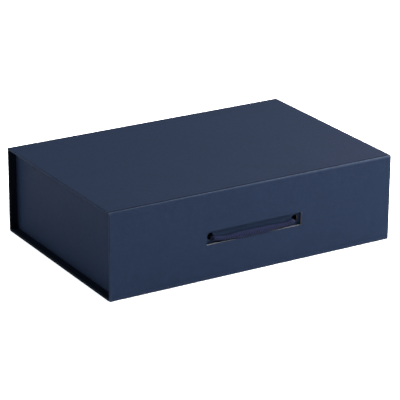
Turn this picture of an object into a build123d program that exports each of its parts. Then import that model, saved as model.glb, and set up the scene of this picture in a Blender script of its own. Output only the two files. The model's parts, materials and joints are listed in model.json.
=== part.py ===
"""Suitcase-style archival box: a paper-covered case closed by a magnetic flap, round a glued-in tray.

+X runs to the right along the flap, +Y to the back, +Z up. The origin is on the surface that the
box stands on, under its middle. All sizes are in millimetres.
"""

import os
from math import cos, radians

from build123d import *

os.makedirs("parts", exist_ok=True)

# ---- Overall size of the closed case ------------------------------------------------------------
case_width = 353.0
case_depth = 235.0
case_height = 99.4

# ---- Sheet stock --------------------------------------------------------------------------------
case_board = 2.5
tray_board = 2.0
cover_paper = 0.2
lining_paper = 0.2
stay_paper = 0.1

# ---- Fits between the case and the tray ---------------------------------------------------------
end_overhang = 8.8
flap_gap = 1.2
lid_gap = 0.3
floor_gap = 0.5

# ---- Paper laps ---------------------------------------------------------------------------------
turn_in = 3.0
rim_turn_in = 15.0
under_lap = 15.0
stay_leg = 20.0

# ---- Slot for the strap, and the strap ----------------------------------------------------------
slot_length = 120.0
slot_height = 15.0
slot_centre_height = 47.6
strap_hole_inset = 7.0
strap_hole_radius = 4.0
strap_hole_clearance = 0.8
strap_width = 8.0
strap_thickness = 1.2
strap_sill_gap = 1.1
strap_bow = 1.5
strap_taper = 12.0
grip_joint_gap = 0.4
strap_face_setback = 0.2
strap_wall_gap = 0.4
knot_radius = 5.5
strap_payout = 12.0
knot_stop_gap = 0.3

# ---- Magnetic catch -----------------------------------------------------------------------------
catch_radius = 6.0
catch_side_inset = 26.5
catch_height = 20.5
magnet_thickness = 2.0
steel_disc_thickness = 1.2
pocket_clearance = 0.1

# ---- Planes and edges worked out from the sizes above -------------------------------------------
case_wall = cover_paper + case_board + lining_paper
half_width = case_width / 2
back_face = case_depth / 2
front_face = -case_depth / 2
spine_inside = back_face - case_wall
flap_inside = front_face + case_wall
lid_underside = case_height - case_wall
lid_depth = spine_inside - flap_inside
board_width = case_width - 2 * cover_paper
liner_width = case_width - 2 * turn_in

tray_front = flap_inside + flap_gap
tray_back = spine_inside
tray_depth = tray_back - tray_front
tray_middle = (tray_back + tray_front) / 2
tray_width = case_width - 2 * end_overhang
tray_bottom = case_wall
rim_height = lid_underside - lid_gap
tray_height = rim_height - tray_bottom
wall_bottom = tray_bottom + cover_paper
wall_top = rim_height - cover_paper
wall_height = wall_top - wall_bottom
shell_width = tray_width - 2 * cover_paper
shell_depth = tray_depth - 2 * cover_paper
room_width = shell_width - 2 * tray_board
room_depth = shell_depth - 2 * tray_board
floor_top = wall_bottom + tray_board
liner_top = rim_height - rim_turn_in
lined_width = room_width - 2 * lining_paper
lined_depth = room_depth - 2 * lining_paper
room_front = tray_front + cover_paper + tray_board + lining_paper

catch_x = half_width - catch_side_inset
strap_x = slot_length / 2 - strap_hole_inset
strap_leg_radius = strap_hole_radius - strap_hole_clearance
slot_sill = slot_centre_height - slot_height / 2
flap_bottom = floor_gap
flap_height = lid_underside - flap_bottom

rest_on = (Align.CENTER, Align.CENTER, Align.MIN)
from_front = (Align.CENTER, Align.MIN, Align.MIN)


def finish(piece, name):
    """Name one finished piece and write it to its own file."""
    piece.part.label = name
    export_step(piece.part, f"parts/{name}.step")


# ==== Case: base and spine, fixed to the tray ====================================================
base_depth = spine_inside - tray_front

with BuildPart() as base_board:
    with Locations((0, tray_front + cover_paper, cover_paper)):
        Box(board_width, base_depth - cover_paper, case_board, align=from_front)
finish(base_board, "base_board")

# The cover sheet under the base: turned up over its front and end edges, and carried round the
# fold at the foot of the spine.
with BuildPart() as base_wrap:
    with Locations((0, tray_front, 0)):
        Box(case_width, base_depth, case_wall, align=from_front)
    with Locations((0, tray_front + cover_paper, cover_paper)):
        Box(board_width, base_depth - cover_paper, case_board, align=from_front, mode=Mode.SUBTRACT)
    with Locations((0, tray_front + turn_in, case_wall - lining_paper)):
        Box(liner_width, base_depth - turn_in, lining_paper, align=from_front, mode=Mode.SUBTRACT)
    with BuildSketch(Plane.YZ.offset(-half_width)):
        with Locations((spine_inside, case_wall)):
            Circle(case_wall)
            Circle(case_wall - cover_paper, mode=Mode.SUBTRACT)
            Rectangle(case_wall, case_wall, align=(Align.MIN, Align.MAX), mode=Mode.INTERSECT)
    extrude(amount=case_width)
finish(base_wrap, "base_wrap")

with BuildPart() as spine_board:
    with Locations((0, spine_inside + lining_paper, case_wall)):
        Box(board_width, case_board, lid_underside - lining_paper - case_wall, align=from_front)
finish(spine_board, "spine_board")

with BuildPart() as spine_wrap:
    with Locations((0, spine_inside, case_wall)):
        Box(case_width, case_wall, lid_underside - case_wall, align=from_front)
    with Locations((0, spine_inside, case_wall)):
        Box(liner_width, lining_paper, lid_underside - case_wall, align=from_front, mode=Mode.SUBTRACT)
    with Locations((0, spine_inside + lining_paper, case_wall)):
        Box(board_width, case_board, lid_underside - case_wall, align=from_front, mode=Mode.SUBTRACT)
finish(spine_wrap, "spine_wrap")

# The lining lies on the base, up the spine and over the spine's top edge.
with BuildPart() as case_liner:
    with BuildSketch(Plane.YZ.offset(-liner_width / 2)):
        with Locations((tray_front + turn_in, case_wall - lining_paper)):
            Rectangle(base_depth - turn_in + lining_paper, lining_paper, align=Align.MIN)
        with Locations((spine_inside, case_wall)):
            Rectangle(lining_paper, lid_underside - case_wall, align=Align.MIN)
        with Locations((spine_inside, lid_underside - lining_paper)):
            Rectangle(lining_paper + case_board, lining_paper, align=Align.MIN)
    extrude(amount=liner_width)
finish(case_liner, "case_liner")


# ==== Lid ========================================================================================
with BuildPart() as lid_board:
    with Locations((0, 0, lid_underside + lining_paper)):
        Box(board_width, lid_depth - 2 * lining_paper, case_board, align=rest_on)
finish(lid_board, "lid_board")

with BuildPart() as lid_wrap:
    with Locations((0, 0, lid_underside)):
        Box(case_width, lid_depth, case_wall, align=rest_on)
    with Locations((0, 0, lid_underside)):
        Box(liner_width, lid_depth, lining_paper, align=rest_on, mode=Mode.SUBTRACT)
    with Locations((0, 0, lid_underside + lining_paper)):
        Box(board_width, lid_depth, case_board, align=rest_on, mode=Mode.SUBTRACT)
finish(lid_wrap, "lid_wrap")

# The lining is turned up over the board's two long edges, where the folds open.
with BuildPart() as lid_liner:
    with Locations((0, 0, lid_underside)):
        Box(liner_width, lid_depth, lining_paper + case_board, align=rest_on)
    with Locations((0, 0, lid_underside + lining_paper)):
        Box(board_width, lid_depth - 2 * lining_paper, case_board, align=rest_on, mode=Mode.SUBTRACT)
finish(lid_liner, "lid_liner")


# ==== Folds of cover paper and lining that carry the lid and the flap ============================
crease_paper = cover_paper + lining_paper
crease_axis_reach = (case_wall - crease_paper / 2) * cos(radians(45))

with BuildPart() as rear_crease:
    with BuildSketch(Plane.YZ.offset(-half_width)):
        with Locations((spine_inside, lid_underside)):
            Circle(case_wall)
            Circle(case_wall - crease_paper, mode=Mode.SUBTRACT)
            Rectangle(case_wall, case_wall, align=Align.MIN, mode=Mode.INTERSECT)
    extrude(amount=case_width)
finish(rear_crease, "rear_crease")

with BuildPart() as front_crease:
    with BuildSketch(Plane.YZ.offset(-half_width)):
        with Locations((flap_inside, lid_underside)):
            Circle(case_wall)
            Circle(case_wall - crease_paper, mode=Mode.SUBTRACT)
            Rectangle(case_wall, case_wall, align=(Align.MAX, Align.MIN), mode=Mode.INTERSECT)
    extrude(amount=case_width)
finish(front_crease, "front_crease")


# ==== Flap =======================================================================================
# Flap sketches lie in the front face, with their Y up: a point (x, z) of the box is (x, z) there.
flap_plane = Plane(origin=(0, front_face, 0), x_dir=(1, 0, 0), z_dir=(0, -1, 0))

with BuildPart() as flap_board:
    with BuildSketch(flap_plane.offset(-cover_paper)):
        with Locations((0, flap_bottom + cover_paper)):
            Rectangle(
                board_width,
                flap_height - cover_paper - lining_paper,
                align=(Align.CENTER, Align.MIN),
            )
        with Locations((0, slot_centre_height)):
            Rectangle(slot_length, slot_height, mode=Mode.SUBTRACT)
    extrude(amount=-case_board)
    with BuildSketch(flap_plane.offset(-cover_paper)):
        with Locations((-catch_x, catch_height), (catch_x, catch_height)):
            Circle(catch_radius + pocket_clearance)
    extrude(amount=-magnet_thickness, mode=Mode.SUBTRACT)
finish(flap_board, "flap_board")

with BuildPart() as flap_wrap:
    with Locations((0, front_face, flap_bottom)):
        Box(case_width, case_wall, flap_height, align=from_front)
    with Locations((0, front_face + cover_paper, flap_bottom + cover_paper)):
        Box(board_width, case_board, flap_height, align=from_front, mode=Mode.SUBTRACT)
    with Locations((0, flap_inside - lining_paper, flap_bottom + turn_in)):
        Box(liner_width, lining_paper, flap_height, align=from_front, mode=Mode.SUBTRACT)
    with BuildSketch(flap_plane):
        with Locations((0, slot_centre_height)):
            Rectangle(slot_length, slot_height)
    extrude(amount=-case_wall, mode=Mode.SUBTRACT)
finish(flap_wrap, "flap_wrap")

with BuildPart() as flap_liner:
    with Locations((0, flap_inside - lining_paper, flap_bottom + turn_in)):
        Box(liner_width, lining_paper, flap_height - turn_in, align=from_front)
    with Locations((0, front_face + cover_paper, lid_underside - lining_paper)):
        Box(liner_width, case_board, lining_paper, align=from_front)
    with BuildSketch(flap_plane.offset(-case_wall)):
        with Locations((0, slot_centre_height)):
            Rectangle(slot_length, slot_height)
    extrude(amount=lining_paper, mode=Mode.SUBTRACT)
finish(flap_liner, "flap_liner")

with BuildPart() as flap_magnets:
    with BuildSketch(flap_plane.offset(-cover_paper)):
        with Locations((-catch_x, catch_height), (catch_x, catch_height)):
            Circle(catch_radius)
    extrude(amount=-magnet_thickness)
finish(flap_magnets, "flap_magnets")


# ==== Tray =======================================================================================
# The front wall's sketches lie in the tray's front face, laid out as the flap's are.
tray_plane = Plane(origin=(0, tray_front, 0), x_dir=(1, 0, 0), z_dir=(0, -1, 0))
strap_holes = [(-strap_x, slot_centre_height), (strap_x, slot_centre_height)]
catch_places = [(-catch_x, catch_height), (catch_x, catch_height)]

with BuildPart() as tray_floor_board:
    with Locations((0, tray_middle, wall_bottom)):
        Box(room_width, room_depth, tray_board, align=rest_on)
finish(tray_floor_board, "tray_floor_board")

with BuildPart() as tray_front_board:
    with Locations((0, tray_front + cover_paper, wall_bottom)):
        Box(shell_width, tray_board, wall_height, align=from_front)
    with BuildSketch(tray_plane.offset(-cover_paper)):
        with Locations(*strap_holes):
            Circle(strap_hole_radius)
    extrude(amount=-tray_board, mode=Mode.SUBTRACT)
    with BuildSketch(tray_plane.offset(-cover_paper)):
        with Locations(*catch_places):
            Circle(catch_radius + pocket_clearance)
    extrude(amount=-steel_disc_thickness, mode=Mode.SUBTRACT)
finish(tray_front_board, "tray_front_board")

with BuildPart() as tray_back_board:
    with Locations((0, tray_back - cover_paper - tray_board, wall_bottom)):
        Box(shell_width, tray_board, wall_height, align=from_front)
finish(tray_back_board, "tray_back_board")

for side, name in ((-1, "tray_left_board"), (1, "tray_right_board")):
    with BuildPart() as tray_end_board:
        with Locations((side * (shell_width - tray_board) / 2, tray_middle, wall_bottom)):
            Box(tray_board, room_depth, wall_height, align=rest_on)
    finish(tray_end_board, name)

with BuildPart() as catch_discs:
    with BuildSketch(tray_plane.offset(-cover_paper)):
        with Locations(*catch_places):
            Circle(catch_radius)
    extrude(amount=-steel_disc_thickness)
finish(catch_discs, "catch_discs")

# Gummed paper stays fold round the four upright corners, under the cover sheet.
with BuildPart() as tray_corner_stays:
    with BuildSketch(Plane.XY.offset(wall_bottom)):
        with Locations((0, tray_middle)):
            Rectangle(shell_width + 2 * stay_paper, shell_depth + 2 * stay_paper)
            Rectangle(shell_width, shell_depth, mode=Mode.SUBTRACT)
            Rectangle(shell_width - 2 * stay_leg, tray_depth, mode=Mode.SUBTRACT)
            Rectangle(tray_width, shell_depth - 2 * stay_leg, mode=Mode.SUBTRACT)
    extrude(amount=wall_height)
finish(tray_corner_stays, "tray_corner_stays")

# The cover sheet runs up the outside of the walls, over the rim and down inside, and is lapped
# under the tray's bottom, where it is glued to the base.
with BuildPart() as tray_wrap:
    with Locations((0, tray_middle, tray_bottom)):
        Box(tray_width, tray_depth, tray_height, align=rest_on)
    with Locations((0, tray_middle, wall_bottom)):
        Box(shell_width, shell_depth, wall_height, align=rest_on, mode=Mode.SUBTRACT)
    with Locations((0, tray_middle, wall_bottom)):
        Box(lined_width, lined_depth, tray_height, align=rest_on, mode=Mode.SUBTRACT)
    with Locations((0, tray_middle, tray_bottom)):
        Box(
            tray_width - 2 * under_lap,
            tray_depth - 2 * under_lap,
            cover_paper,
            align=rest_on,
            mode=Mode.SUBTRACT,
        )
    with BuildSketch(Plane.XY.offset(liner_top)):
        with Locations((0, tray_middle)):
            Rectangle(room_width, room_depth)
            Rectangle(lined_width, lined_depth, mode=Mode.SUBTRACT)
    extrude(amount=wall_top - liner_top)
    add(tray_corner_stays.part, mode=Mode.SUBTRACT)
    with BuildSketch(tray_plane):
        with Locations(*strap_holes):
            Circle(strap_hole_radius)
    extrude(amount=-cover_paper, mode=Mode.SUBTRACT)
finish(tray_wrap, "tray_wrap")

with BuildPart() as tray_liner:
    with Locations((0, tray_middle, floor_top)):
        Box(room_width, room_depth, liner_top - floor_top, align=rest_on)
    with Locations((0, tray_middle, floor_top + lining_paper)):
        Box(lined_width, lined_depth, liner_top - floor_top, align=rest_on, mode=Mode.SUBTRACT)
    with BuildSketch(Plane(origin=(0, room_front, 0), x_dir=(1, 0, 0), z_dir=(0, -1, 0))):
        with Locations(*strap_holes):
            Circle(strap_hole_radius)
    extrude(amount=lining_paper, mode=Mode.SUBTRACT)
finish(tray_liner, "tray_liner")


# ==== Strap handle ===============================================================================
# The tape is drawn in plan and bows forward at the middle, inside the flap's slot. Its two tails
# are gathered into round legs, pass through the tray's front wall and end in knots. At rest the
# knots hang back from the wall by what the strap pays out when it is pulled.
grip_reach = strap_x - strap_taper
grip_bottom = slot_sill + strap_sill_gap
grip_top = grip_bottom + strap_width
grip_front = front_face + strap_face_setback
grip_end = grip_front + strap_bow
grip_arc = [(-grip_reach, grip_end), (0, grip_front), (grip_reach, grip_end)]

with BuildPart() as strap_grip:
    with BuildSketch(Plane.XY.offset(grip_bottom)):
        with BuildLine():
            front_line = ThreePointArc(*grip_arc)
            back_line = ThreePointArc(*[(x, y + strap_thickness) for x, y in grip_arc])
            Line(front_line @ 0, back_line @ 0)
            Line(front_line @ 1, back_line @ 1)
        make_face()
    extrude(amount=strap_width)
finish(strap_grip, "strap_grip")

leg_front = tray_front - strap_wall_gap - strap_thickness
knot_front = room_front + strap_payout + knot_stop_gap
knot_middle = knot_front + knot_radius
lead_start = grip_reach + grip_joint_gap

tail_plane = Plane(origin=(0, leg_front, 0), x_dir=(1, 0, 0), z_dir=(0, -1, 0))

with BuildPart() as strap_tail_left:
    # The tape's end, narrowing from its full width to the leg that it is gathered into.
    with BuildSketch(tail_plane):
        with BuildLine():
            Polyline(
                (-lead_start, grip_top),
                (-strap_x, slot_centre_height + strap_leg_radius),
                (-strap_x, slot_centre_height - strap_leg_radius),
                (-lead_start, grip_bottom),
                close=True,
            )
        make_face()
        with Locations((-strap_x, slot_centre_height)):
            Circle(strap_leg_radius)
    extrude(amount=-strap_thickness)
    with BuildSketch(tail_plane):
        with Locations((-strap_x, slot_centre_height)):
            Circle(strap_leg_radius)
    extrude(amount=leg_front - knot_middle)
    with Locations((-strap_x, knot_middle, slot_centre_height)):
        Sphere(knot_radius)
finish(strap_tail_left, "strap_tail_left")

with BuildPart() as strap_tail_right:
    mirror(strap_tail_left.part, about=Plane.YZ)
finish(strap_tail_right, "strap_tail_right")

print("hinge axes, mm: lid at y", round(spine_inside + crease_axis_reach, 3), end=", ")
print("flap at y", round(flap_inside - crease_axis_reach, 3), end=", ")
print("both at z", round(lid_underside + crease_axis_reach, 3))
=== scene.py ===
"""The looks of the archival box: covered boards, folds, strap, materials, light and camera."""

import json
from math import atan2, cos, exp, hypot, pi, radians, sin

import bmesh
import bpy
from mathutils import Matrix, Vector, noise


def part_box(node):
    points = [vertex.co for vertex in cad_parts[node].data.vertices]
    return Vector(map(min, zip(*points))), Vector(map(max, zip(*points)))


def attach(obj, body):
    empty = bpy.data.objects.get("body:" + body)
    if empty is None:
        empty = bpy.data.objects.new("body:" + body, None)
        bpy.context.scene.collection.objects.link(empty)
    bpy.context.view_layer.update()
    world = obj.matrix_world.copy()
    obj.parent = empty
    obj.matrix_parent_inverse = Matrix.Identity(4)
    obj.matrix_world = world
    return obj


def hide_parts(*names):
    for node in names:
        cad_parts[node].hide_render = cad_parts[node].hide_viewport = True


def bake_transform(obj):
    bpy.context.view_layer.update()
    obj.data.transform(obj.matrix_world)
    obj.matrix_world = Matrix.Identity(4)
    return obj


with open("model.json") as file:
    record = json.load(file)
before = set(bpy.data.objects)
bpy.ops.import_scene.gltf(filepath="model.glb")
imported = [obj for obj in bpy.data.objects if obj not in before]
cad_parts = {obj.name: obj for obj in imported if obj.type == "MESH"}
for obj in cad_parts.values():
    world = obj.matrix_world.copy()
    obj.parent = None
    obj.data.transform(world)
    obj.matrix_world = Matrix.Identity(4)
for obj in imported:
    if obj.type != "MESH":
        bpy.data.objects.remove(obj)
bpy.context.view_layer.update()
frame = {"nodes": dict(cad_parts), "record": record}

MM = 0.001

# ---- Sizes that the frame gives ------------------------------------------------------------------
lid_low, lid_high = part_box("lid_wrap")
flap_low, flap_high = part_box("flap_wrap")
spine_low, spine_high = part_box("spine_wrap")
base_low, base_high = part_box("base_wrap")
tray_low, tray_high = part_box("tray_wrap")
_, liner_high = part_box("lid_liner")
room_low, room_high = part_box("tray_liner")
_, tail_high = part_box("strap_tail_left")
grip_low, grip_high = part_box("strap_grip")
magnet_low, magnet_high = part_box("flap_magnets")

half_width = lid_high.x
turn_in = half_width - liner_high.x

# ---- Stock and finish of the paper work ----------------------------------------------------------
paper = 0.2 * MM  # cover paper
fold_paper = 0.4 * MM  # cover paper and lining together, round a fold
edging_paper = 0.12 * MM  # dark strips on the ends of the base and the spine
edge_round = 0.55 * MM  # radius of a covered board's edge
tray_edge_round = 0.3 * MM
groove_ahead = 0.35 * MM  # from the lid's edge to the groove beside it
groove_depth = 0.5 * MM
groove_reach = 0.55 * MM  # half the groove's width

# ---- Strap ---------------------------------------------------------------------------------------
tape_width, tape_thickness = 7.9 * MM, 1.0 * MM
gathered_curl, open_curl = radians(235), radians(62)
tape_lean = radians(18)
rib_pitch, rib_slope, rib_depth = 3.1 * MM, 1.0, 0.55 * MM
# In the upper part of the tape the painted rib shade and highlight give way to one even tone.
bunched_mark = 0.62  # the rib mark where the ribs are bunched together
wrinkle_depth, wave_depth, selvedge_width = 0.25 * MM, 0.16 * MM, 0.7 * MM
strap_hole_radius = 4.0 * MM


# ==================================================================================================
# Modelling helpers
# ==================================================================================================
def axis_vector(axis, sign=1):
    """The unit vector along X, Y or Z, given as 0, 1 or 2."""
    return Vector([float(sign) if i == axis else 0.0 for i in range(3)])


UP, DOWN, FRONT = axis_vector(2), axis_vector(2, -1), axis_vector(1, -1)


def bell(value):
    return exp(-value * value)


def smoothstep(value):
    value = min(1.0, max(0.0, value))
    return value * value * (3 - 2 * value)


def looks(face, direction):
    """Whether a face looks in a direction."""
    return face.normal.dot(direction) > 0.9


def deselect():
    bpy.ops.object.select_all(action="DESELECT")


def make_active(obj):
    deselect()
    obj.select_set(True)
    bpy.context.view_layer.objects.active = obj


def block(name, low, high):
    """A block between two corners, its place in its mesh."""
    deselect()
    low, high = Vector(low), Vector(high)
    bpy.ops.mesh.primitive_cube_add(size=1, location=(low + high) / 2, scale=high - low)
    obj = bpy.context.object
    obj.name = obj.data.name = name
    bpy.ops.object.transform_apply(location=True, rotation=True, scale=True)
    return obj


def rod(name, start, end, radius):
    """A plain round rod from one point to another along Y, its place in its mesh."""
    deselect()
    middle = (Vector(start) + Vector(end)) / 2
    depth = (Vector(end) - Vector(start)).length
    bpy.ops.mesh.primitive_cylinder_add(
        vertices=64, radius=radius, depth=depth, location=middle, rotation=(pi / 2, 0, 0)
    )
    obj = bpy.context.object
    obj.name = obj.data.name = name
    bpy.ops.object.transform_apply(location=True, rotation=True, scale=True)
    return obj


def grid(name, along, across):
    """A unit grid with UVs, ready to have its points placed: x and y run from -0.5 to 0.5."""
    deselect()
    bpy.ops.mesh.primitive_grid_add(x_subdivisions=along, y_subdivisions=across, size=1)
    obj = bpy.context.object
    obj.name = obj.data.name = name
    return obj


class Editing:
    """Edit mode on one object, with the selection made in code."""

    def __init__(self, obj, mode="FACE"):
        self.obj = obj
        self.mode = mode

    def __enter__(self):
        make_active(self.obj)
        bpy.ops.object.mode_set(mode="EDIT")
        bpy.ops.mesh.select_mode(type=self.mode)
        bpy.ops.mesh.select_all(action="DESELECT")
        return self

    def __exit__(self, *_):
        bpy.ops.object.mode_set(mode="OBJECT")

    def pick(self, test):
        """Select the elements that pass a test, and no others."""
        bpy.ops.mesh.select_all(action="DESELECT")
        mesh = bmesh.from_edit_mesh(self.obj.data)
        kind = {"FACE": mesh.faces, "EDGE": mesh.edges, "VERT": mesh.verts}[self.mode]
        for element in kind:
            if test(element):
                element.select_set(True)
        mesh.select_flush_mode()
        bmesh.update_edit_mesh(self.obj.data)

    def cut(self, point, normal):
        """Cut the whole mesh along a plane, keeping both sides."""
        bpy.ops.mesh.select_all(action="SELECT")
        bpy.ops.mesh.bisect(plane_co=point, plane_no=normal, use_fill=False)

    def round_sharp_edges(self, radius, segments=4):
        bpy.ops.mesh.select_all(action="DESELECT")
        bpy.ops.mesh.edges_select_sharp(sharpness=radians(60))
        bpy.ops.mesh.bevel(offset=radius, segments=segments, profile=0.5, affect="EDGES")


def apply_modifier(obj, kind, **settings):
    make_active(obj)
    modifier = obj.modifiers.new(kind.lower(), kind)
    for key, value in settings.items():
        setattr(modifier, key, value)
    bpy.ops.object.modifier_apply(modifier=modifier.name)


def cut_away(obj, cutter):
    """Cut one shape out of a piece and remove the cutter."""
    apply_modifier(obj, "BOOLEAN", operation="DIFFERENCE", solver="EXACT", object=cutter)
    bpy.data.objects.remove(cutter, do_unlink=True)


def turn_inside_out(obj):
    with Editing(obj):
        bpy.ops.mesh.select_all(action="SELECT")
        bpy.ops.mesh.flip_normals()


def mark_points(obj, name, values):
    """Store a number at each point, for the materials to read."""
    marks = obj.data.attributes.new(name, "FLOAT", "POINT")
    marks.data.foreach_set("value", values)


def smooth(obj, angle=35):
    make_active(obj)
    bpy.ops.object.shade_smooth_by_angle(angle=radians(angle))


def dress(obj, material, body):
    """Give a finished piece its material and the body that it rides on."""
    obj.data.materials.clear()
    obj.data.materials.append(material)
    if body:
        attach(obj, body)
    return obj


# ==================================================================================================
# Materials
# ==================================================================================================
class Recipe:
    """A node material, with short ways to add and link its nodes."""

    def __init__(self, name):
        self.material = bpy.data.materials.new(name)
        self.material.use_nodes = True
        self.tree = self.material.node_tree
        self.shader = self.tree.nodes["Principled BSDF"]
        self.place = self.node("TexCoord")

    def node(self, kind, **values):
        made = self.tree.nodes.new("ShaderNode" + kind)
        for key, value in values.items():
            if hasattr(made, key):
                setattr(made, key, value)
            else:
                made.inputs[key.replace("_", " ")].default_value = value
        return made

    def link(self, source, target):
        self.tree.links.new(source, target)

    def set(self, **values):
        for key, value in values.items():
            self.shader.inputs[key.replace("_", " ")].default_value = value

    def stretched(self, scale, turn=(0, 0, 0)):
        """Object coordinates, stretched and turned."""
        mapping = self.node("Mapping", Scale=scale, Rotation=turn)
        self.link(self.place.outputs["Object"], mapping.inputs["Vector"])
        return mapping.outputs["Vector"]

    def noise(self, scale, vector=None, detail=4.0, roughness=0.55):
        made = self.node("TexNoise", Scale=scale, Detail=detail, Roughness=roughness)
        self.link(vector or self.place.outputs["Object"], made.inputs["Vector"])
        return made.outputs["Fac"]

    def spread(self, value, low, high, to_low=0.0, to_high=1.0):
        made = self.node("MapRange")
        self.link(value, made.inputs["Value"])
        limits = {"From Min": low, "From Max": high, "To Min": to_low, "To Max": to_high}
        for key, number in limits.items():
            made.inputs[key].default_value = number
        return made.outputs["Result"]

    def sums(self, operation, a, b):
        made = self.node("Math", operation=operation)
        for socket, value in zip(made.inputs, (a, b)):
            if isinstance(value, (int, float)):
                socket.default_value = value
            else:
                self.link(value, socket)
        return made.outputs[0]

    def mix(self, amount, a, b):
        made = self.node("Mix", data_type="RGBA", blend_type="MIX")
        sockets = {s.identifier: s for s in made.inputs}
        pairs = (("Factor_Float", amount), ("A_Color", a), ("B_Color", b))
        for key, value in pairs:
            if isinstance(value, (int, float)):
                sockets[key].default_value = value
            elif isinstance(value, tuple):
                sockets[key].default_value = (*value, 1)
            else:
                self.link(value, sockets[key])
        return [s for s in made.outputs if s.identifier == "Result_Color"][0]

    def bump(self, height, strength, distance, before=None):
        made = self.node("Bump", Strength=strength, Distance=distance)
        self.link(height, made.inputs["Height"])
        if before:
            self.link(before, made.inputs["Normal"])
        return made.outputs["Normal"]

    def finish(self, colour, roughness, normal):
        self.link(colour, self.shader.inputs["Base Color"])
        self.link(roughness, self.shader.inputs["Roughness"])
        self.link(normal, self.shader.inputs["Normal"])
        return self.material


def felt_paper(name, dark, pale, wear_and_highlight_colour, specular):
    """Uncoated book-binder's paper: fine felt grain, short fibres, faint clouds.

    The mark stored at its points makes it paler above 0, for wear at the edges and for painted highlights
    along the folds, and darker below 0, for painted shade in the grooves."""
    recipe = Recipe(name)
    grain = recipe.noise(2400, detail=5.0, roughness=0.65)
    fibres = recipe.noise(900, recipe.stretched((1, 0.28, 1), (0.4, 0.2, 0.9)), detail=3.0)
    clouds = recipe.noise(16, detail=3.0)
    grain_share = recipe.sums("MULTIPLY", grain, 0.55)
    shade = recipe.sums("ADD", grain_share, recipe.sums("MULTIPLY", fibres, 0.45))
    colour = recipe.mix(recipe.spread(shade, 0.36, 0.64), dark, pale)
    clouded = recipe.mix(recipe.spread(clouds, 0.3, 0.7, 0.0, 0.22), colour, pale)
    mottle = recipe.noise(210, detail=3.0)
    clouded = recipe.mix(recipe.spread(mottle, 0.35, 0.65, 0.0, 0.4), clouded, dark)
    # Paler where there is wear at the edges and where a painted highlight lies along a fold.
    wear_and_painted_light = recipe.node("Attribute", attribute_name="wear_and_painted_light")
    uneven = recipe.spread(recipe.noise(420), 0.3, 0.7, 0.35, 0.9)
    wear_and_highlight_amount = recipe.sums("MULTIPLY", wear_and_painted_light.outputs["Fac"], uneven)
    paper_with_wear_and_highlight = recipe.mix(wear_and_highlight_amount, clouded, wear_and_highlight_colour)
    # Painted shade: below 0 the mark darkens the paper towards a fifth of its dark tone, in the grooves.
    pressed = recipe.spread(wear_and_painted_light.outputs["Fac"], -1.0, 0.0, 1.0, 0.0)
    final = recipe.mix(pressed, paper_with_wear_and_highlight, tuple(0.2 * part for part in dark))
    roughness = recipe.spread(fibres, 0.3, 0.7, 0.58, 0.74)
    relief = recipe.bump(grain, 0.35, 0.05 * MM)
    relief = recipe.bump(fibres, 0.25, 0.05 * MM, relief)
    recipe.set(Specular_IOR_Level=specular)
    return recipe.finish(final, roughness, relief)


def raw_greyboard():
    """The cut edge and face of greyboard: pressed pulp in thin plies, with darker flecks."""
    recipe = Recipe("greyboard")
    pulp = recipe.noise(1500, detail=6.0, roughness=0.7)
    flecks = recipe.noise(2600, recipe.stretched((1, 1, 0.5)), detail=2.0)
    plies = recipe.node("TexWave", Scale=380.0, Distortion=2.5, Detail=3.0, bands_direction="Y")
    recipe.link(recipe.place.outputs["Object"], plies.inputs["Vector"])
    colour = recipe.mix(recipe.spread(pulp, 0.3, 0.7), (0.055, 0.057, 0.066), (0.095, 0.098, 0.112))
    ply_lines = recipe.spread(plies.outputs["Fac"], 0.2, 0.9, 0.0, 0.3)
    colour = recipe.mix(ply_lines, colour, (0.042, 0.043, 0.050))
    colour = recipe.mix(recipe.spread(flecks, 0.66, 0.74), colour, (0.030, 0.030, 0.035))
    relief = recipe.bump(pulp, 0.6, 0.12 * MM)
    recipe.set(Specular_IOR_Level=0.2)
    return recipe.finish(colour, recipe.spread(pulp, 0.3, 0.7, 0.82, 0.95), relief)


def kraft_tape():
    """Brown gummed paper with fibres that run along it."""
    recipe = Recipe("kraft_stay")
    fibres = recipe.noise(1100, recipe.stretched((1, 1, 0.2)), detail=5.0)
    colour = recipe.mix(recipe.spread(fibres, 0.3, 0.7), (0.27, 0.16, 0.085), (0.44, 0.29, 0.17))
    roughness = recipe.spread(fibres, 0.3, 0.7, 0.6, 0.75)
    recipe.set(Specular_IOR_Level=0.3)
    return recipe.finish(colour, roughness, recipe.bump(fibres, 0.3, 0.05 * MM))


def disc_metal(name, dark, pale, rough):
    """Nickel of a magnet or plain steel of a catch disc, with fine marks and faint stains."""
    recipe = Recipe(name)
    marks = recipe.noise(1800, recipe.stretched((1, 1, 0.1)), detail=4.0)
    stains = recipe.noise(260, detail=3.0)
    colour = recipe.mix(recipe.spread(stains, 0.3, 0.7), dark, pale)
    roughness = recipe.spread(marks, 0.3, 0.7, rough, rough + 0.15)
    recipe.set(Metallic=1.0)
    return recipe.finish(colour, roughness, recipe.bump(marks, 0.2, 0.02 * MM))


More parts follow.
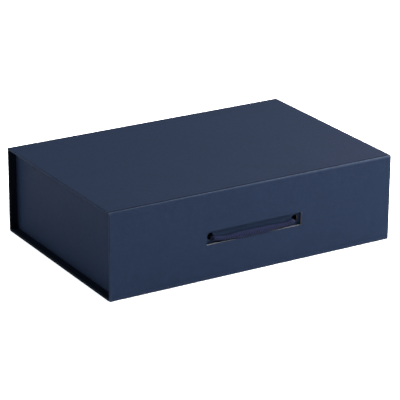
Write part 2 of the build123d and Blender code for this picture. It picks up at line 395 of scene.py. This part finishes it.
def woven_tape():
    """Herringbone tape: painted shade, near black, between its ribs, and a painted highlight, bluer, on
    them, with fine cross threads and a nap.

    The rib mark is 1 on a rib and 0 between two, and the UVs follow the tape."""
    threads_along, threads_across = 190, 21
    recipe = Recipe("strap_weave")
    weave = recipe.node("UVMap", uv_map="UVMap")
    split = recipe.node("SeparateXYZ")
    recipe.link(weave.outputs["UV"], split.inputs["Vector"])
    rib = recipe.node("Attribute", attribute_name="rib").outputs["Fac"]
    along = recipe.sums("MULTIPLY", split.outputs["X"], 2 * pi * threads_along)
    across = recipe.sums("MULTIPLY", split.outputs["Y"], 2 * pi * threads_across)
    threads = recipe.sums("ADD", recipe.sums("SINE", along, 0.0), recipe.sums("SINE", across, 0.0))
    threads = recipe.spread(threads, -2.0, 2.0)
    fuzz = recipe.noise(5200, detail=4.0, roughness=0.7)
    patch = recipe.noise(240, detail=2.0)
    # Painted shade, near black, between the ribs, and a painted highlight, bluer, on them.
    colour = recipe.mix(recipe.spread(rib, 0.3, 0.8), (0.0001, 0.0002, 0.0010), (0.0084, 0.0130, 0.0420))
    colour = recipe.mix(recipe.spread(threads, 0.2, 0.8, 0.0, 0.35), colour, (0.0022, 0.0030, 0.0090))
    colour = recipe.mix(recipe.spread(fuzz, 0.35, 0.65, 0.0, 0.25), colour, (0.0036, 0.0052, 0.0165))
    colour = recipe.mix(recipe.spread(patch, 0.35, 0.65, 0.0, 0.2), colour, (0.0048, 0.0066, 0.0220))
    relief = recipe.bump(threads, 0.45, 0.10 * MM)
    relief = recipe.bump(fuzz, 0.3, 0.05 * MM, relief)
    recipe.set(Specular_IOR_Level=0.06, Sheen_Weight=0.03, Sheen_Roughness=0.4)
    return recipe.finish(colour, recipe.spread(fuzz, 0.3, 0.7, 0.72, 0.88), relief)


def knotted_tape():
    """The same tape where it is bunched in the knot: fine ribs and a soft nap."""
    recipe = Recipe("knot_weave")
    ribs = recipe.node("TexWave", Scale=330.0, Distortion=1.6, Detail=2.0, bands_direction="DIAGONAL")
    recipe.link(recipe.place.outputs["Object"], ribs.inputs["Vector"])
    fuzz = recipe.noise(5200, detail=4.0, roughness=0.7)
    colour = recipe.mix(ribs.outputs["Fac"], (0.0020, 0.0028, 0.0080), (0.0110, 0.0150, 0.0360))
    colour = recipe.mix(recipe.spread(fuzz, 0.35, 0.65, 0.0, 0.4), colour, (0.0060, 0.0078, 0.0190))
    relief = recipe.bump(ribs.outputs["Fac"], 0.5, 0.12 * MM)
    relief = recipe.bump(fuzz, 0.3, 0.05 * MM, relief)
    recipe.set(Specular_IOR_Level=0.06, Sheen_Weight=0.03, Sheen_Roughness=0.4)
    return recipe.finish(colour, recipe.spread(fuzz, 0.3, 0.7, 0.72, 0.88), relief)


def plain_floor():
    """Pale floor that glows a little, so that the box's shadow doesn't grey it."""
    recipe = Recipe("pale_floor")
    speckle = recipe.noise(30, detail=2.0)
    colour = recipe.mix(recipe.spread(speckle, 0.3, 0.7), (0.93, 0.93, 0.93), (0.95, 0.95, 0.95))
    roughness = recipe.spread(speckle, 0.3, 0.7, 0.88, 0.92)
    recipe.set(Specular_IOR_Level=0.0, Emission_Color=(1, 1, 1, 1), Emission_Strength=0.46)
    return recipe.finish(colour, roughness, recipe.bump(speckle, 0.01, 0.01 * MM))


cover_paper = felt_paper(
    "cover_paper",
    dark=(0.0051, 0.0093, 0.0203),
    pale=(0.0091, 0.0153, 0.0322),
    wear_and_highlight_colour=(0.034, 0.046, 0.072),
    specular=0.022,
)
lining_paper = felt_paper(
    "lining_paper",
    dark=(0.0010, 0.0020, 0.0048),
    pale=(0.0020, 0.0034, 0.0074),
    wear_and_highlight_colour=(0.003, 0.005, 0.009),
    specular=0.024,
)
greyboard = raw_greyboard()
kraft = kraft_tape()
nickel = disc_metal("magnet_nickel", (0.50, 0.49, 0.46), (0.66, 0.65, 0.62), 0.22)
steel = disc_metal("disc_steel", (0.34, 0.34, 0.35), (0.50, 0.50, 0.51), 0.35)
tape_weave = woven_tape()
knot_weave = knotted_tape()


# ==================================================================================================
# Camera, light and floor
# ==================================================================================================
def set_up_camera():
    """A long lens, turned by azimuth and elevation about the point that it aims at."""
    azimuth, elevation, roll = radians(-31.06), radians(20.76), radians(0.32)
    aim = Vector((8.8 * MM, 11.0 * MM, 36.4 * MM))
    distance = 2.371
    back = Vector((sin(azimuth) * cos(elevation), -cos(azimuth) * cos(elevation), sin(elevation)))
    right = Vector((cos(azimuth), sin(azimuth), 0))
    up = back.cross(right)
    turn = Matrix((right, up, back)).transposed() @ Matrix.Rotation(roll, 3, "Z")
    camera = bpy.data.objects.new("camera", bpy.data.cameras.new("camera"))
    bpy.context.scene.collection.objects.link(camera)
    camera.matrix_world = Matrix.Translation(aim + back * distance) @ turn.to_4x4()
    camera.data.lens = 190.54
    camera.data.sensor_width = 36
    camera.data.clip_start = 0.05
    bpy.context.scene.camera = camera


def softbox(name, place, aim, size, power, tint=(1, 1, 1)):
    """A soft lamp of a size in metres and a power in watts, turned to its aim."""
    lamp = bpy.data.lights.new(name, "AREA")
    lamp.shape = "RECTANGLE"
    lamp.size, lamp.size_y = size
    lamp.energy = power
    lamp.color = tint
    obj = bpy.data.objects.new(name, lamp)
    obj.location = place
    obj.rotation_euler = (Vector(aim) - Vector(place)).to_track_quat("-Z", "Y").to_euler()
    bpy.context.scene.collection.objects.link(obj)


def set_up_studio():
    world = bpy.data.worlds.new("studio")
    world.use_nodes = True
    surface = world.node_tree.nodes["Background"]
    surface.inputs["Color"].default_value = (1, 1, 1, 1)
    surface.inputs["Strength"].default_value = 0.30
    bpy.context.scene.world = world
    bpy.context.scene.view_settings.view_transform = "Standard"
    box, right_corner = (0, 0, 0.03), (0.15, -0.1, 0.05)
    warm, cool = (1.0, 0.90, 0.82), (0.85, 0.93, 1.0)
    softbox("key_front_right", (1.45, -1.1, 1.45), box, (0.7, 0.6), 150)
    softbox("high_back_right", (2.0, 0.8, 1.2), box, (1.2, 1.2), 88, warm)
    softbox("high_back_left", (-1.6, 1.2, 1.3), box, (1.2, 1.2), 52, cool)
    softbox("low_right", (0.95, -0.75, 0.35), right_corner, (0.4, 0.3), 6)

    floor_size, floor_gap = 16, 0.2 * MM
    deselect()
    bpy.ops.mesh.primitive_plane_add(size=floor_size, location=(0, 0, -floor_gap))
    floor = bpy.context.object
    floor.name = "floor"
    floor.data.materials.append(plain_floor())


set_up_camera()
set_up_studio()


# ==================================================================================================
# Covered boards
# ==================================================================================================
def rub_edges(obj, corners_low, corners_high, reach=1.6 * MM, open_sides=()):
    """Mark the wear of the paper: along the outer edges, and most at the corners.

    A side that is open, where the paper runs on over a fold, has no edge wear. The mark is 0 on clean
    paper, above 0 where wear makes it pale and where a painted highlight lies, and below 0 where painted
    shade darkens a groove."""
    corner_reach = 6 * MM
    edge_wear, corner_wear = 0.14, 0.4
    corners_low, corners_high = Vector(corners_low), Vector(corners_high)
    for side in open_sides:
        corners_low += Vector([min(0.0, part) for part in side])
        corners_high += Vector([max(0.0, part) for part in side])
    values = []
    for vertex in obj.data.vertices:
        near = sorted(
            min(abs(vertex.co[i] - corners_low[i]), abs(vertex.co[i] - corners_high[i])) for i in range(3)
        )
        edge = max(0.0, 1 - near[1] / reach)
        corner = max(0.0, 1 - near[2] / corner_reach)
        values.append(edge * (edge_wear + corner_wear * corner))
    mark_points(obj, "wear_and_painted_light", values)


def board_face_cuts(obj, low, high, spacing=9 * MM):
    """Cut the big faces into a fine net, so that they can be given the slight bow of real board."""
    with Editing(obj) as edit:
        for axis in range(3):
            length = high[axis] - low[axis]
            count = int(length / spacing)
            for step in range(1, count):
                point = Vector(low)
                point[axis] += length * step / count
                edit.cut(point, axis_vector(axis))


def bow_board(obj, low, high, outward):
    """Move the outer face very slightly in and out, dying away towards its edges."""
    amount, margin_width = 0.07 * MM, 22 * MM
    flat = [i for i in range(3) if abs(outward[i]) < 0.5]
    outer = max(Vector(low).dot(outward), Vector(high).dot(outward))
    for vertex in obj.data.vertices:
        if abs(vertex.co.dot(outward) - outer) > 0.01 * MM:
            continue
        fade = 1.0
        for i in flat:
            margin = min(vertex.co[i] - low[i], high[i] - vertex.co[i]) / margin_width
            fade *= max(0.0, min(1.0, margin)) ** 1.5
        wave = noise.noise(vertex.co * 14) * 0.7 + noise.noise(vertex.co * 45) * 0.3
        vertex.co += outward * amount * (wave - 0.6) * fade


def covered_board(name, low, high, outward, open_sides):
    """The cover sheet of one board: its outer face, its wrapped edges and a border turned in behind."""
    low, high = Vector(low), Vector(high)
    outward = Vector(outward)
    sides = [axis_vector(axis, sign) for axis in range(3) for sign in (1, -1)]
    open_sides = [Vector(d) for d in open_sides]
    closed = [d for d in sides if abs(d.dot(outward)) < 0.5 and d not in open_sides]
    obj = block(name, low, high)
    board_face_cuts(obj, low, high)
    borders = []
    with Editing(obj) as edit:
        for side in closed:
            edge = high if sum(side) > 0 else low
            line = edge - side * turn_in
            edit.cut(line, side)
            borders.append((side, line.dot(side)))

        def unneeded(face):
            if any(looks(face, side) for side in open_sides):
                return True
            middle = face.calc_center_median()
            return looks(face, -outward) and all(middle.dot(side) < limit for side, limit in borders)

        edit.pick(unneeded)
        bpy.ops.mesh.delete(type="FACE")
    with Editing(obj, "EDGE") as edit:
        edit.round_sharp_edges(edge_round)
    rub_edges(obj, low, high, open_sides=open_sides)
    bow_board(obj, low, high, outward)
    return obj


def paper_thickness(obj, thickness=paper):
    """Give an open sheet its thickness, inwards from its outer face."""
    apply_modifier(obj, "SOLIDIFY", thickness=thickness, offset=-1.0, use_even_offset=True)
    smooth(obj)


def press_grooves(obj):
    """Press a groove into the paper beside both long edges of the lid, a little unevenly, and paint shade
    along it.
    """
    wander, painted_groove_shade = 0.25, 1.5
    marks = obj.data.attributes["wear_and_painted_light"].data
    for line_y in (lid_low.y - groove_ahead, lid_high.y + groove_ahead):
        for vertex in obj.data.vertices:
            away = hypot(vertex.co.y - line_y, vertex.co.z - lid_high.z)
            if away > 3 * groove_reach:
                continue
            uneven = 1 + wander * noise.noise(Vector((vertex.co.x * 30, line_y * 50, 0)))
            pressed = uneven * bell(away / groove_reach)
            vertex.co.z -= groove_depth * pressed
            mark = marks[vertex.index]
            # The mark goes below 0 here, which paints shade into the groove.
            mark.value = max(-1.0, mark.value - painted_groove_shade * pressed)


def make_lid_cover():
    cover = covered_board("lid_cover", lid_low, lid_high, (0, 0, 1), [(0, 1, 0), (0, -1, 0)])
    with Editing(cover) as edit:
        # Lines close together, so that the grooves have points to press.
        for step in (0.15, 0.35, 0.6, 0.9, 1.4):
            edit.cut(Vector((0, lid_low.y + step * MM, 0)), (0, 1, 0))
            edit.cut(Vector((0, lid_high.y - step * MM, 0)), (0, 1, 0))
    press_grooves(cover)
    paper_thickness(cover)
    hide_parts("lid_wrap")
    return dress(cover, cover_paper, "lid")


def press_catch_mark(obj, centre_x, centre_z, radius):
    """The paper has sunk a little over a magnet: cut the face finer there and press it in."""
    depth = 0.2 * MM
    wall_start, wall_width = 1.12, 0.24  # in radii of the magnet
    front = flap_low.y

    def reach(point):
        return hypot(point.x - centre_x, point.z - centre_z) / radius

    def around_magnet(face, span):
        middle = face.calc_center_median()
        return looks(face, FRONT) and abs(middle.y - front) < 0.3 * MM and reach(middle) < span

    for span in (2.2, 1.5):
        with Editing(obj) as edit:
            edit.pick(lambda face: around_magnet(face, span))
            bpy.ops.mesh.subdivide(number_cuts=3)
    for vertex in obj.data.vertices:
        if reach(vertex.co) < 1.2 and vertex.co.y - front < 0.2 * MM:
            vertex.co.y += depth * smoothstep((wall_start - reach(vertex.co)) / wall_width)


def catch_place():
    """Distance from the middle, height and radius of the magnets in the flap."""
    radius = (magnet_high.z - magnet_low.z) / 2
    return magnet_high.x - radius, (magnet_high.z + magnet_low.z) / 2, radius


def make_flap_cover():
    cover = covered_board("flap_cover", flap_low, flap_high, (0, -1, 0), [(0, 0, 1)])
    catch_x, catch_z, radius = catch_place()
    for side in (-1, 1):
        press_catch_mark(cover, side * catch_x, catch_z, 0.92 * radius)
    paper_thickness(cover)
    slot_low, slot_high = slot_corners()
    outside = Vector((0, 5 * MM, 0))
    low = Vector((slot_low[0], flap_low.y, slot_low[1])) - outside
    high = Vector((slot_high[0], flap_high.y, slot_high[1])) + outside
    cut_away(cover, block("slot_cutter", low, high))
    smooth(cover)
    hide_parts("flap_wrap")
    return dress(cover, cover_paper, "flap")


def make_magnets():
    """Two nickel discs with a rounded rim, set a little deeper than the paper over them."""
    catch_x, catch_z, radius = catch_place()
    sunk = 0.35 * MM
    rim = 0.25 * MM
    magnets = []
    for side, name in ((-1, "magnet_left"), (1, "magnet_right")):
        start = (side * catch_x, magnet_low.y + sunk, catch_z)
        end = (side * catch_x, magnet_high.y, catch_z)
        magnet = rod(name, start, end, radius)
        with Editing(magnet, "EDGE") as edit:
            edit.round_sharp_edges(rim, segments=3)
        smooth(magnet)
        magnets.append(dress(magnet, nickel, "flap"))
    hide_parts("flap_magnets")
    return magnets


def slot_corners():
    """The slot's lowest and highest corner (x, z), read from the hole in the flap's lining."""
    mesh = frame["nodes"]["flap_liner"].data
    inner = [v.co for v in mesh.vertices if abs(v.co.x) < 0.5 * half_width]
    xs = [p.x for p in inner]
    zs = [p.z for p in inner if abs(abs(p.x) - max(xs)) < 0.1 * MM]
    return (min(xs), min(zs)), (max(xs), max(zs))


def make_spine_cover():
    cover = covered_board("spine_cover", spine_low, spine_high, (0, 1, 0), [(0, 0, 1), (0, 0, -1)])
    paper_thickness(cover)
    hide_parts("spine_wrap")
    return dress(cover, cover_paper, "box")


def make_base_cover():
    high = (base_high.x, spine_low.y, base_high.z)
    cover = covered_board("base_cover", base_low, high, (0, 0, -1), [(0, 1, 0)])
    paper_thickness(cover)
    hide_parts("base_wrap")
    return dress(cover, cover_paper, "box")


# ==================================================================================================
# Folds
# ==================================================================================================
def fold_strip(name, start, centre, turn, thickness):
    """Paper that runs round a fold: one edge of a board's face, spun about the fold's centre."""
    deselect()
    start_y, start_z = start
    middle = (0, start_y + half_width, start_z)
    bpy.ops.mesh.primitive_plane_add(size=2 * half_width, location=middle)
    strip = bpy.context.object
    strip.name = strip.data.name = name
    bpy.ops.object.transform_apply(location=True, rotation=True, scale=True)
    with Editing(strip, "VERT") as edit:
        edit.pick(lambda vertex: vertex.co.y > start_y + half_width)
        bpy.ops.mesh.delete(type="VERT")
        bpy.ops.mesh.select_all(action="SELECT")
        bpy.ops.mesh.subdivide(number_cuts=180)
        bpy.ops.mesh.select_all(action="SELECT")
        bpy.ops.mesh.spin(steps=28, angle=turn, center=(0, *centre), axis=(1, 0, 0))
    ripple(strip, centre)
    mark_fold_highlight(strip, centre)
    press_grooves(strip)
    turn_from(strip, centre)
    paper_thickness(strip, thickness)
    return strip


def ripple(strip, centre):
    """The slight unevenness of paper over a fold, dying away where it meets the boards."""
    depth = 0.04 * MM
    for vertex in strip.data.vertices:
        out = Vector((0, vertex.co.y - centre[0], vertex.co.z - centre[1]))
        ends = min(abs(out.y), abs(out.z)) / out.length
        wave = noise.noise(Vector((vertex.co.x * 140, vertex.co.y * 220, vertex.co.z * 220)))
        vertex.co += out.normalized() * wave * depth * min(1.0, 3 * ends)


def mark_fold_highlight(strip, centre):
    """Mark a painted highlight along the line where the paper turns over, wider to the right, and pale ends
    from wear.
    """
    crown_angle = radians(34)
    crown_highlight, end_wear, end_reach = 0.95, 0.4, 4 * MM
    values = []
    for vertex in strip.data.vertices:
        out = Vector((0, vertex.co.y - centre[0], vertex.co.z - centre[1]))
        from_top = atan2(abs(out.y), abs(out.z))
        breadth = radians(20 + 14 * vertex.co.x / half_width)
        # Painted highlight along the crown of the fold, wider towards the right.
        crown = bell((from_top - crown_angle) / breadth)
        end = max(0.0, 1 - (half_width - abs(vertex.co.x)) / end_reach)
        values.append(min(1.0, crown_highlight * crown + end_wear * end))
    mark_points(strip, "wear_and_painted_light", values)


def turn_from(obj, centre):
    """Make an open sheet's faces look away from a line along X."""
    outwards = 0.0
    for face in obj.data.polygons:
        outwards += face.normal.y * (face.center.y - centre[0])
        outwards += face.normal.z * (face.center.z - centre[1])
    if outwards < 0:
        turn_inside_out(obj)


def make_folds():
    """Paper round the rear and the front fold of the lid, and round the fold at the spine's foot."""
    top = lid_low.z
    rear_centre = (spine_low.y, top)
    rear = fold_strip("rear_fold", (spine_low.y, lid_high.z), rear_centre, pi / 2, fold_paper)
    dress(rear, cover_paper, None)
    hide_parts("rear_crease")
    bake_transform(rear)
    front_centre = (flap_high.y, top)
    front = fold_strip("front_fold", (flap_high.y, lid_high.z), front_centre, -pi / 2, fold_paper)
    dress(front, cover_paper, None)
    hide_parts("front_crease")
    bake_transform(front)
    foot_centre = (spine_low.y, base_high.z)
    foot = fold_strip("foot_fold", (spine_low.y, base_low.z), foot_centre, -pi / 2, paper)
    dress(foot, cover_paper, "box")


# ==================================================================================================
# Dark edging at the ends of the base and the spine
# ==================================================================================================
def edging(name, low, high, kept):
    """A dark paper strip over one end of a board: kept names the two faces that it covers."""
    parts = 16
    strip = block(name, low, high)
    with Editing(strip) as edit:
        edit.pick(lambda face: not any(looks(face, Vector(side)) for side in kept))
        bpy.ops.mesh.delete(type="FACE")
        longest = max(range(3), key=lambda i: high[i] - low[i])
        for step in range(1, parts):
            point = Vector(low)
            point[longest] += (high[longest] - low[longest]) * step / parts
            edit.cut(point, axis_vector(longest))
    with Editing(strip, "EDGE") as edit:
        edit.round_sharp_edges(edge_round)
    rub_edges(strip, low, high, reach=0.9 * MM)
    paper_thickness(strip, edging_paper)
    return dress(strip, lining_paper, "box")


def make_edgings():
    """Strips at both ends of the base and the spine, just proud of the cover paper."""
    outer_margin = 0.5 * MM
    proud = edging_paper
    for side, word in ((-1, "left"), (1, "right")):
        ends = sorted((side * (half_width + proud), side * (half_width - 1.1 * turn_in)))
        low = (ends[0], base_low.y + outer_margin, base_low.z + outer_margin)
        high = (ends[1], spine_low.y, base_high.z + proud)
        edging("base_edging_" + word, low, high, ((side, 0, 0), (0, 0, 1)))
        low = (ends[0], spine_low.y - proud, base_high.z)
        high = (ends[1], spine_high.y - outer_margin, lid_low.z)
        edging("spine_edging_" + word, low, high, ((side, 0, 0), (0, -1, 0)))


# ==================================================================================================
# Tray
# ==================================================================================================
def within_tray(point, inset):
    return all(tray_low[i] + inset < point[i] < tray_high[i] - inset for i in (0, 1))


def make_tray_cover():
    """One sheet up the outside of the walls, over the rim, down inside, and lapped under the tray."""
    wall = room_low.x - tray_low.x + paper
    lap_inside = tray_high.z - room_high.z
    lap_under = 15 * MM
    cover = block("tray_cover", tray_low, tray_high)
    board_face_cuts(cover, tray_low, tray_high, spacing=15 * MM)
    with Editing(cover) as edit:
        for axis, inset in ((0, wall), (1, wall), (0, lap_under), (1, lap_under)):
            for side in (-1, 1):
                edge = tray_high if side > 0 else tray_low
                normal = axis_vector(axis, side)
                edit.cut(edge - normal * inset, normal)

        def uncovered(face):
            middle = face.calc_center_median()
            opening = looks(face, UP) and within_tray(middle, wall)
            return opening or (looks(face, DOWN) and within_tray(middle, lap_under))

        edit.pick(uncovered)
        bpy.ops.mesh.delete(type="FACE")
    with Editing(cover, "EDGE") as edit:

        def on_rim(edge):
            ends = [vertex.co for vertex in edge.verts]
            at_top = all(end.z > tray_high.z - 0.1 * MM for end in ends)
            return edge.is_boundary and at_top and all(within_tray(end, 0.5 * wall) for end in ends)

        edit.pick(on_rim)
        bpy.ops.mesh.extrude_edges_move(TRANSFORM_OT_translate={"value": (0, 0, -lap_inside)})
        bpy.ops.mesh.select_all(action="SELECT")
        bpy.ops.mesh.normals_make_consistent(inside=False)
        edit.round_sharp_edges(tray_edge_round)
    turn_walls_out(cover)
    rub_edges(cover, tray_low, tray_high)
    paper_thickness(cover)
    hole = strap_place()
    for side in (-1, 1):
        start = (side * hole.x, tray_low.y - 5 * MM, hole.z)
        end = (side * hole.x, tray_low.y + 6 * MM, hole.z)
        cut_away(cover, rod("hole_cutter", start, end, strap_hole_radius))
    smooth(cover)
    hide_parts("tray_wrap")
    return dress(cover, cover_paper, "box")


def turn_walls_out(obj):
    """Make sure that the outer walls face out: the sheet is open, so this is read from one end wall."""
    wall_faces = [face for face in obj.data.polygons if face.center.x > tray_high.x - 0.1 * MM]
    if sum(face.normal.x * face.area for face in wall_faces) < 0:
        turn_inside_out(obj)


def strap_place():
    """Centre of the right strap hole: the end of the CAD tail lies on the hole's axis."""
    mesh = frame["nodes"]["strap_tail_right"].data
    tail_end = [v.co for v in mesh.vertices if v.co.y > room_low.y + 14 * MM]
    low = Vector([min(p[i] for p in tail_end) for i in range(3)])
    high = Vector([max(p[i] for p in tail_end) for i in range(3)])
    return (low + high) / 2


# ==================================================================================================
# Strap
# ==================================================================================================
class TapeRun:
    """Where the middle line of half of the tape runs, from its knot to the middle of the slot.

    It comes straight through the hole, a little low and towards the middle of it, turns through a quarter
    of a circle in front of the tray, and then runs along the slot, where it sinks and bulges out."""

    def __init__(self, hole):
        self.hole = hole
        self.leg = Vector((hole.x - 1.7 * MM, 0, hole.z - 2.0 * MM))
        self.knot_y = tail_high.y - 9.5 * MM
        self.wall_y = tray_low.y
        self.bend = 2.8 * MM  # radius of the quarter turn
        self.inside = self.knot_y - self.wall_y
        self.quarter = self.bend * pi / 2
        self.run = self.leg.x - self.bend
        self.total = self.inside + self.quarter + self.run
        self.middle_z = (grip_low.z + grip_high.z) / 2 - 1.2 * MM
        self.bulge = 1.3 * MM

    def point(self, s):
        """The place at a length s from the knot."""
        if s < self.inside:
            return Vector((self.leg.x, self.knot_y - s, self.leg.z))
        if s < self.inside + self.quarter:
            angle = (s - self.inside) / self.bend
            x = self.leg.x - self.bend * (1 - cos(angle))
            return Vector((x, self.wall_y - self.bend * sin(angle), self.leg.z))
        part = (s - self.inside - self.quarter) / self.run
        x = self.run * (1 - part)
        y = self.wall_y - self.bend - self.bulge * smoothstep(part * 1.15)
        z = self.leg.z + (self.middle_z - self.leg.z) * smoothstep(part * 4.5)
        return Vector((x, y, z))

    def flatness(self, s):
        """0 where the tape is gathered behind its hole, and 1 where it lies open."""
        leaving = smoothstep((s - self.inside + 2 * MM) / (self.quarter + 2 * MM))
        opening = smoothstep(((s - self.inside - self.quarter) / self.run - 0.3) / 0.4)
        return 0.35 * leaving + 0.65 * opening


def tape_frame(tape_run, s):
    """The tape's middle at a length s from the knot, and its upward and outward directions there."""
    step = 0.5 * MM
    along = tape_run.point(min(tape_run.total, s + step)) - tape_run.point(max(0.0, s - step))
    out = UP.cross(along.normalized()).normalized()
    lean = tape_lean * tape_run.flatness(s)
    up = UP * cos(lean) - out * sin(lean)
    return tape_run.point(s), up, out * cos(lean) + UP * sin(lean)


def tape_point(tape_run, s, across, side):
    """The place and the rib mark of one point of the tape.

    s is the length from the knot, and across the distance upwards from the tape's middle line. The ribs are
    bunched and pressed flat in the upper part, which leans back on the tray."""
    here, up, out = tape_frame(tape_run, s)
    flat = tape_run.flatness(s)
    from_middle = side * (tape_run.total - s)
    curl = gathered_curl + (open_curl - gathered_curl) * flat
    radius = tape_width / curl
    turn = across / tape_width * curl
    crown = radius * (cos(turn) - cos(curl / 2) * 0.5 - 0.5)
    wrinkle = noise.noise(Vector((s * 240, across * 800, side * 3.1))) * wrinkle_depth * (1 - flat)
    wave = noise.noise(Vector((from_middle * 80, across * 240, 7.7))) * wave_depth
    selvedge = min(1.0, (tape_width / 2 - abs(across)) / selvedge_width)
    relief = 1 - 0.72 * smoothstep((across / tape_width + 0.06) / 0.3)
    rib = 0.5 + 0.5 * sin(2 * pi * (from_middle + rib_slope * abs(across)) / rib_pitch)
    rib *= selvedge
    place = here + up * radius * sin(turn) + out * (crown + wrinkle + wave + rib * relief * rib_depth)
    place.x *= side
    # The mark returned sets the painted shade between the ribs and the painted highlight on them.
    return place, rib * relief + bunched_mark * (1 - relief)


def strap_half(side):
    """Half of the tape, from its knot through the hole and along the slot to the middle.

    It is a flat tape that curls lengthways where it is gathered through the hole. In the slot its upper
    edge leans back on the tray and its lower edge hangs out over the sill."""
    tape_run = TapeRun(strap_place())
    tape = grid("strap_left" if side < 0 else "strap_right", 400, 40)
    rib_marks = []
    for vertex in tape.data.vertices:
        s = (vertex.co.x + 0.5) * tape_run.total
        vertex.co, mark = tape_point(tape_run, s, vertex.co.y * tape_width, side)
        rib_marks.append(mark)
    mark_points(tape, "rib", rib_marks)
    middle = [face for face in tape.data.polygons if abs(face.center.x) < 20 * MM]
    if sum(face.normal.y for face in middle) > 0:
        turn_inside_out(tape)
    apply_modifier(tape, "SOLIDIFY", thickness=tape_thickness, offset=-1.0, use_even_offset=False)
    smooth(tape, 60)
    dress(tape, tape_weave, None)
    if side < 0:
        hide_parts("strap_tail_left", "strap_grip")
    else:
        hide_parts("strap_tail_right")
    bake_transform(tape)
    return tape


def strap_knot(side):
    """An overhand knot of the gathered tape, pulled tight.

    It is a closed line of three crossings, so the tape's end is hidden in it."""
    knot_size, tape_radius, grain = 1.18 * MM, 1.75 * MM, 0.25 * MM
    points = 42
    hole = strap_place()
    middle = Vector((side * hole.x, tail_high.y - 5.5 * MM, hole.z))
    deselect()
    bpy.ops.curve.primitive_bezier_circle_add(radius=1)
    line = bpy.context.object
    line.name = "strap_knot_left" if side < 0 else "strap_knot_right"
    spline = line.data.splines
    spline.remove(spline[0])
    turns = spline.new("NURBS")
    turns.points.add(points - 1)
    for index, point in enumerate(turns.points):
        t = 2 * pi * index / points
        loop = Vector((sin(t) + 2 * sin(2 * t), -1.15 * sin(3 * t), cos(t) - 2 * cos(2 * t))) * knot_size
        loop.x *= side
        point.co = (*(middle + loop), 1)
        point.radius = 1 + 0.12 * sin(5 * t)
    turns.use_cyclic_u = True
    turns.order_u = 4
    line.data.dimensions = "3D"
    line.data.resolution_u = 5
    line.data.bevel_depth = tape_radius
    line.data.bevel_resolution = 6
    make_active(line)
    bpy.ops.object.convert(target="MESH")
    bpy.ops.object.transform_apply(location=True, rotation=True, scale=True)
    knot = bpy.context.object
    for vertex in knot.data.vertices:
        vertex.co += vertex.normal * noise.noise(vertex.co * 1400) * grain
    smooth(knot, 80)
    return dress(knot, knot_weave, "strap_ends")


# ==================================================================================================
# Boards, linings and catch that keep their own shape
# ==================================================================================================
def finish_frame_pieces():
    """Give every piece of the frame the material of its slot."""
    finishes = {
        "greyboard": greyboard,
        "lining_paper": lining_paper,
        "stay_paper": kraft,
        "steel": steel,
        "magnet": nickel,
        "cover_paper": cover_paper,
        "strap_tape": tape_weave,
    }
    slots = {entry["node"]: entry["material_slot"] for entry in frame["record"]["subparts"]}
    for name, obj in frame["nodes"].items():
        obj.data.materials.clear()
        obj.data.materials.append(finishes[slots[name]])


finish_frame_pieces()
make_lid_cover()
make_flap_cover()
make_spine_cover()
make_base_cover()
make_folds()
make_edgings()
make_magnets()
make_tray_cover()
for side in (-1, 1):
    strap_half(side)
    strap_knot(side)
